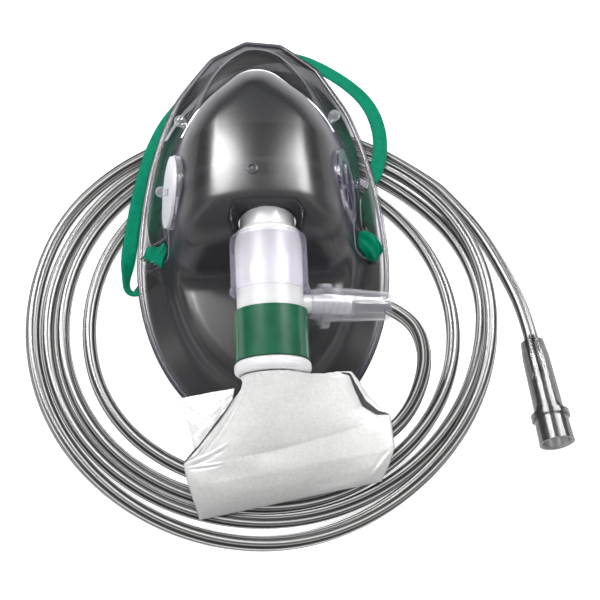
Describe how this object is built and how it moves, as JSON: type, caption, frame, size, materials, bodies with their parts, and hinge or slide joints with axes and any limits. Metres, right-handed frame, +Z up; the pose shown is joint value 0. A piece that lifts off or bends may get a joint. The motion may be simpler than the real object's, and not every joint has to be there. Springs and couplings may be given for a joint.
{
  "type": "non-rebreather oxygen mask",
  "caption": "Clear face mask with exhalation port, nose clip, elastic strap, swivelling valve connector, folded reservoir bag and coiled oxygen tubing.",
  "frame": {"origin": "on the surface that the part lies on, under the centre of the mask and bag together", "axes": "+Z up from the face side, +Y towards the nose end of the mask"},
  "size_m": [0.1949, 0.2102, 0.0614],
  "materials": {
    "mask_vinyl": "smoke-clear flexible vinyl, glossy",
    "clear_plastic": "clear moulded plastic, glossy",
    "clear_vinyl": "clear soft vinyl, glossy",
    "silicone": "soft translucent silicone, satin",
    "aluminium_strip": "thin bent strip, satin",
    "strap_elastic": "woven elastic, matt",
    "white_plastic": "frosted moulded plastic",
    "green_vinyl": "glossy shrink sleeve",
    "bag_film": "frosted thin film",
    "tubing": "clear flexible star-lumen tubing"
  },
  "bodies": {
    "root": {"mask_shell": "mask_vinyl", "vent_seat_left": "clear_plastic", "vent_seat_right": "clear_plastic", "nose_clip": "aluminium_strip", "nose_clip_studs": "clear_plastic", "strap_outer": "strap_elastic", "strap_inner": "strap_elastic", "strap_knot_left": "strap_elastic", "strap_knot_right": "strap_elastic", "reservoir_bag": "bag_film", "tube_lead": "tubing", "tube_coil": "tubing", "tube_tail": "tubing", "supply_connector": "clear_vinyl", "supply_tube_end": "tubing"},
    "swivel": {"valve_body": "white_plastic", "inhalation_seat": "white_plastic", "colour_band": "green_vinyl", "neck_ring": "white_plastic", "tube_adaptor": "clear_vinyl", "tube_end": "tubing"},
    "exhalation_flap": {"exhalation_disc": "silicone"},
    "inhalation_flap": {"inhalation_disc": "silicone"}
  },
  "joints": [
    {"name": "connector_swivel", "type": "hinge", "parent": "root", "child": "swivel", "pos_m": [0.0023, -0.0104, 0.0426], "axis": [0, -0.9781, -0.2079], "range_deg": [-6, 30]},
    {"name": "exhalation_lift", "type": "slide", "parent": "root", "child": "exhalation_flap", "axis": [-0.9632, -0.0234, 0.2679], "range_m": [0, 0.0014]},
    {"name": "inhalation_lift", "type": "slide", "parent": "swivel", "child": "inhalation_flap", "axis": [0, 0.9781, 0.2079], "range_m": [0, 0.0015]}
  ]
}
